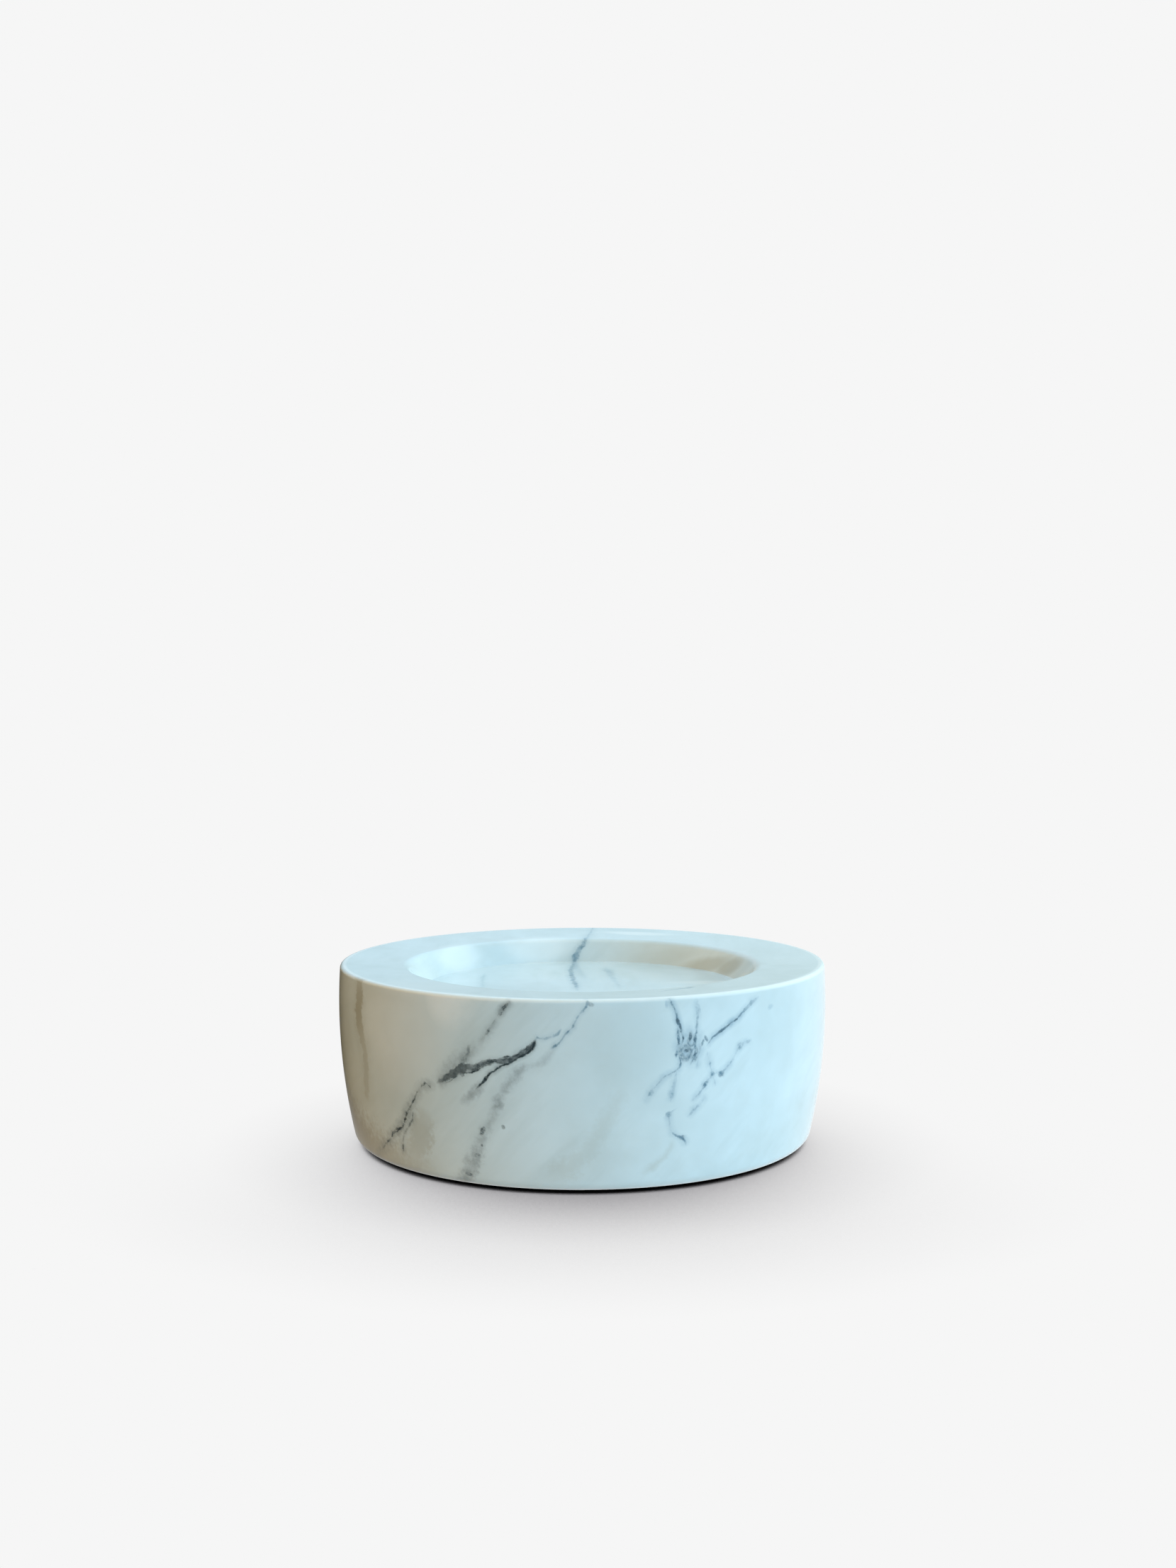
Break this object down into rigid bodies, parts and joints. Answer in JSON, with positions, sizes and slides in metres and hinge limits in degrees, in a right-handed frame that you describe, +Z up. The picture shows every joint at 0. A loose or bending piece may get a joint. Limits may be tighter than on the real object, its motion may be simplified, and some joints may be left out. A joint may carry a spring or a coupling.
{
  "type": "marble tray",
  "caption": "Round tray turned from one block of veined marble, with a bowed wall, an inward-sloping rim, a shallow recess whose wall leans outwards, and anti-slip pads underneath.",
  "frame": {"origin": "on the tray's axis, in the plane of the pads' undersides, which is the surface that the tray stands on", "axes": "+Z is up, along the axis that the stone is turned about; the stone is the same from every side, and the pads lie on the diagonals between +X and +Y"},
  "size_m": [0.2, 0.2, 0.0735],
  "materials": {
    "marble": "polished white marble with grey and a few tan veins",
    "rubber": "matt black"
  },
  "bodies": {
    "root": {"tray_body": "marble", "foot_pad_1": "rubber", "foot_pad_2": "rubber", "foot_pad_3": "rubber", "foot_pad_4": "rubber"}
  },
  "joints": []
}
